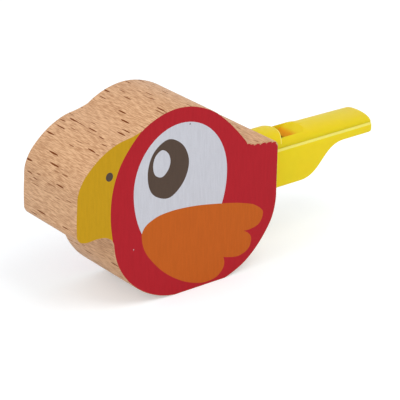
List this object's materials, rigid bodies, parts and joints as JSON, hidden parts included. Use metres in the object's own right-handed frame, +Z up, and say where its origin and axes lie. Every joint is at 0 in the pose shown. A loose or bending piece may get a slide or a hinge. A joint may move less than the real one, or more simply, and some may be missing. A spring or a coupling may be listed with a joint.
{
  "type": "bird whistle",
  "caption": "Wooden toy bird whistle: a flat sawn beech block in the outline of a bird, painted on both flat faces, with a yellow plastic flue whistle pushed into the end of its tail.",
  "frame": {"origin": "centre of the flat underside that the block stands on", "axes": "+X from the beak towards the whistle's mouthpiece, +Y through the block's thickness, +Z up"},
  "size_m": [0.1109, 0.026, 0.0562],
  "materials": {
    "beech": "plain sanded beech, with satin paint on the two flat faces",
    "yellow_plastic": "glossy moulded plastic"
  },
  "bodies": {
    "root": {"bird_body": "beech", "whistle_base": "yellow_plastic", "whistle_cover": "yellow_plastic"}
  },
  "joints": []
}
